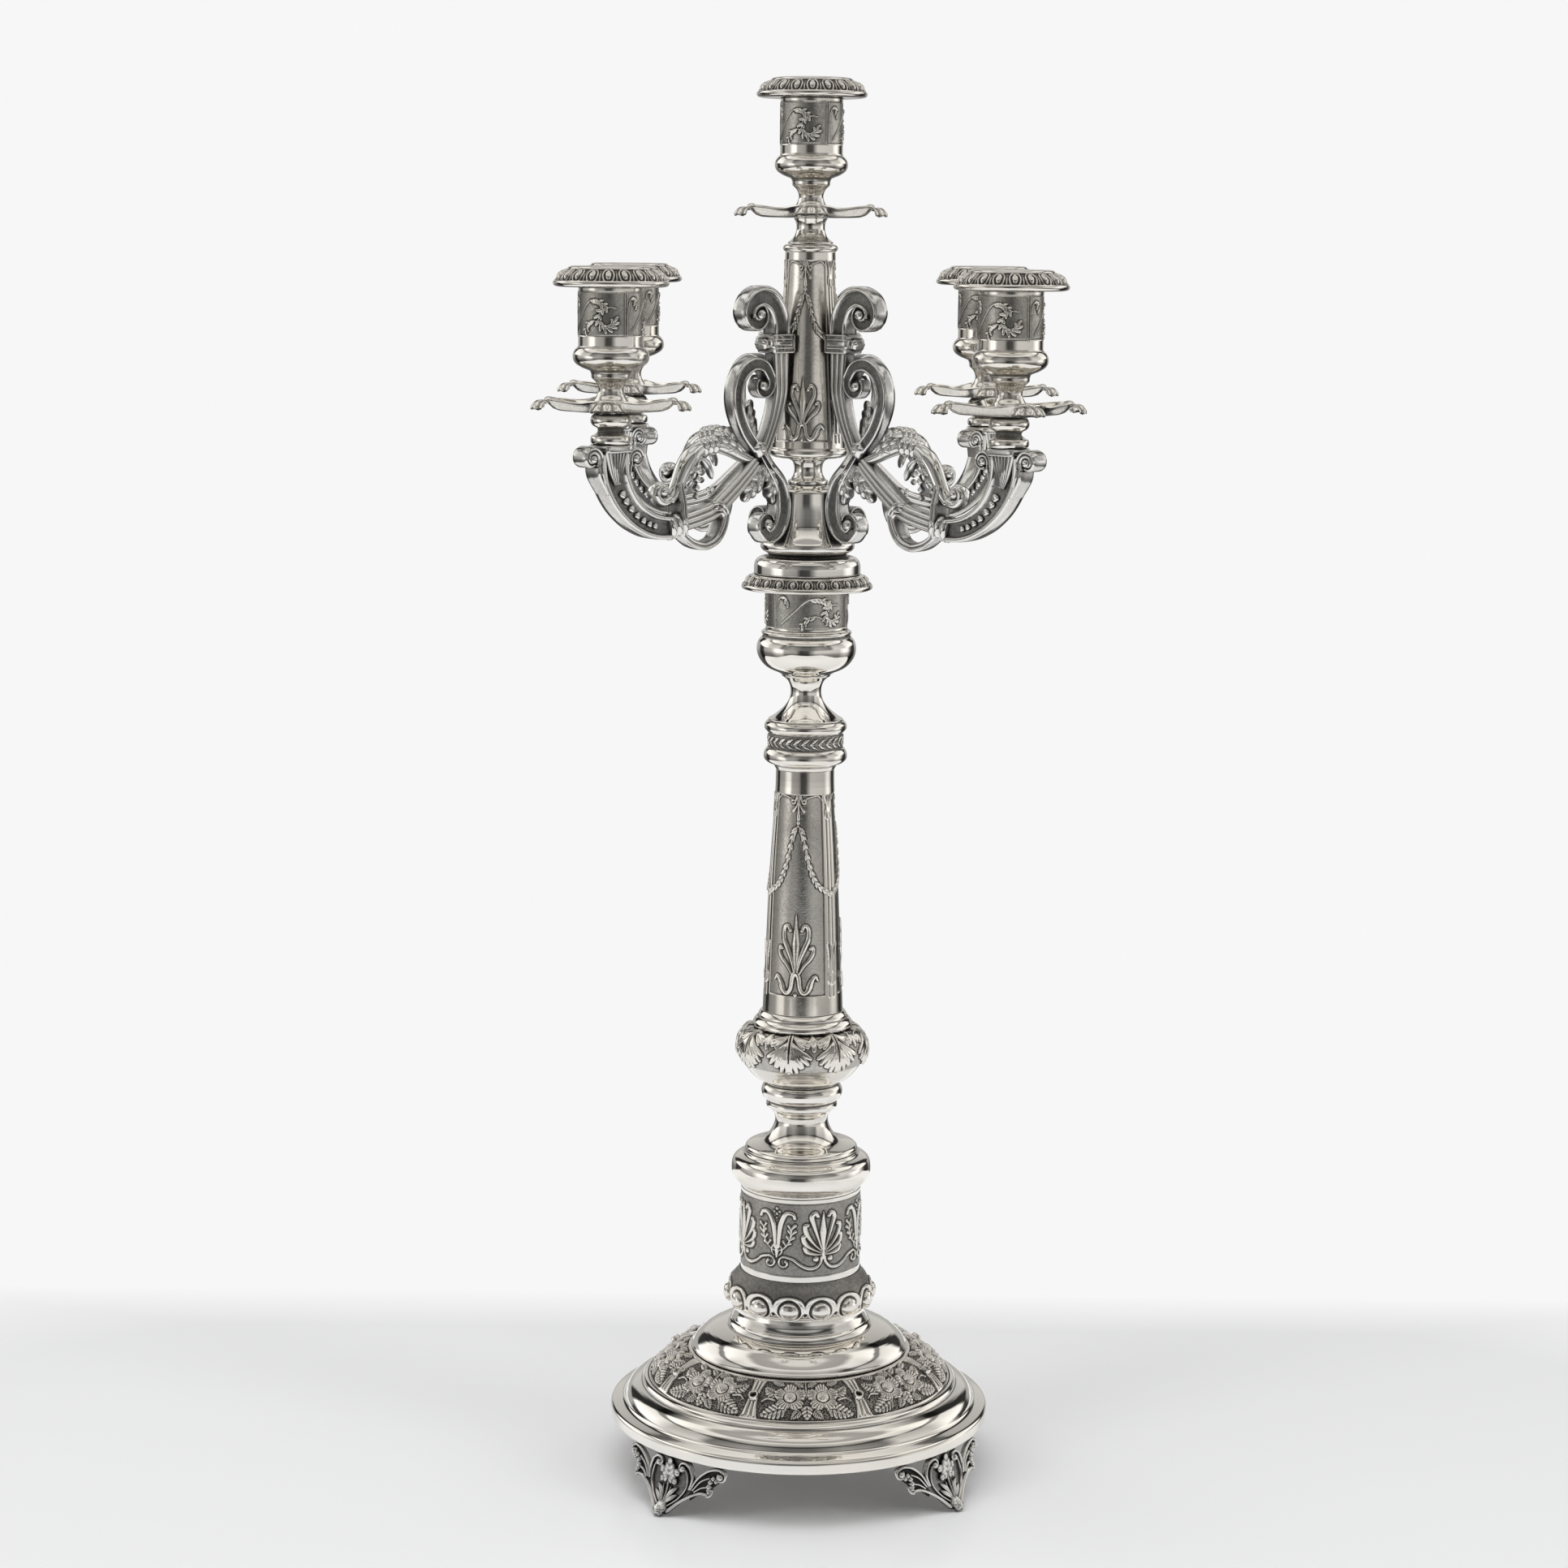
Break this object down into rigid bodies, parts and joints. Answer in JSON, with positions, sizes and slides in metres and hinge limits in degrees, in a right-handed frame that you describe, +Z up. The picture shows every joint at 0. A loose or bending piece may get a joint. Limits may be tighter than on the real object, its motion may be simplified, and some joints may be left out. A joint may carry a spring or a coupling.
{
  "type": "candelabrum",
  "caption": "Silver candelabrum: scroll branches on a tapered column and domed foot, with lift-off candle nozzles.",
  "frame": {"origin": "on the table at the centre of the foot", "axes": "+Z up along the stem; -Y is the front, between two of the feet and two of the branches"},
  "size_m": [0.236, 0.236, 0.6209],
  "materials": {
    "polished_silver": "polished",
    "matted_silver": "matted",
    "oxidised_silver": "oxidised",
    "steel": "plain"
  },
  "bodies": {
    "candlestick": {"foot_front_left": "oxidised_silver", "foot_front_right": "oxidised_silver", "foot_back_right": "oxidised_silver", "foot_back_left": "oxidised_silver", "base_rim": "polished_silver", "flower_band": "matted_silver", "base_dome": "polished_silver", "bead_ring": "oxidised_silver", "drum_sleeve": "matted_silver", "drum_cap": "polished_silver", "trumpet_stem": "polished_silver", "knop_collar": "polished_silver", "leaf_knop": "matted_silver", "column_foot_ring": "polished_silver", "lower_column": "matted_silver", "column_capital": "polished_silver", "urn_neck": "polished_silver", "urn_bowl": "polished_silver", "main_socket": "matted_silver", "base_washer": "steel", "base_nut": "steel", "base_tie_rod": "steel", "socket_nut": "steel"},
    "main_nozzle_piece": {"main_nozzle": "polished_silver"},
    "branch_section": {"branch_plug": "polished_silver", "branch_urn": "polished_silver", "branch_neck": "polished_silver", "upper_column": "matted_silver", "upper_column_cap": "polished_silver", "finial_neck": "polished_silver", "branch_tie_rod": "steel", "branch_nut": "steel", "scroll_bracket_front_left": "oxidised_silver", "branch_arm_front_left": "oxidised_silver", "pan_seat_front_left": "polished_silver", "scroll_bracket_front_right": "oxidised_silver", "branch_arm_front_right": "oxidised_silver", "pan_seat_front_right": "polished_silver", "scroll_bracket_back_right": "oxidised_silver", "branch_arm_back_right": "oxidised_silver", "pan_seat_back_right": "polished_silver", "scroll_bracket_back_left": "oxidised_silver", "branch_arm_back_left": "oxidised_silver", "pan_seat_back_left": "polished_silver", "drip_pan_centre": "oxidised_silver", "candle_socket_centre": "polished_silver", "drip_pan_front_left": "oxidised_silver", "candle_socket_front_left": "polished_silver", "drip_pan_front_right": "oxidised_silver", "candle_socket_front_right": "polished_silver", "drip_pan_back_right": "oxidised_silver", "candle_socket_back_right": "polished_silver", "drip_pan_back_left": "oxidised_silver", "candle_socket_back_left": "polished_silver"},
    "nozzle_centre": {"candle_nozzle_centre": "polished_silver"},
    "nozzle_front_left": {"candle_nozzle_front_left": "polished_silver"},
    "nozzle_front_right": {"candle_nozzle_front_right": "polished_silver"},
    "nozzle_back_right": {"candle_nozzle_back_right": "polished_silver"},
    "nozzle_back_left": {"candle_nozzle_back_left": "polished_silver"}
  },
  "joints": [
    {"name": "branch_lift", "type": "slide", "parent": "candlestick", "child": "main_nozzle_piece", "axis": [0, 0, 1], "range_m": [0, 0.05]},
    {"name": "branch_turn", "type": "hinge", "parent": "main_nozzle_piece", "child": "branch_section", "pos_m": [0, 0, 0.4], "axis": [0, 0, 1], "continuous": true},
    {"name": "nozzle_lift_centre", "type": "slide", "parent": "branch_section", "child": "nozzle_centre", "axis": [0, 0, 1], "range_m": [0, 0.03]},
    {"name": "nozzle_lift_front_left", "type": "slide", "parent": "branch_section", "child": "nozzle_front_left", "axis": [0, 0, 1], "range_m": [0, 0.03]},
    {"name": "nozzle_lift_front_right", "type": "slide", "parent": "branch_section", "child": "nozzle_front_right", "axis": [0, 0, 1], "range_m": [0, 0.03]},
    {"name": "nozzle_lift_back_right", "type": "slide", "parent": "branch_section", "child": "nozzle_back_right", "axis": [0, 0, 1], "range_m": [0, 0.03]},
    {"name": "nozzle_lift_back_left", "type": "slide", "parent": "branch_section", "child": "nozzle_back_left", "axis": [0, 0, 1], "range_m": [0, 0.03]}
  ]
}
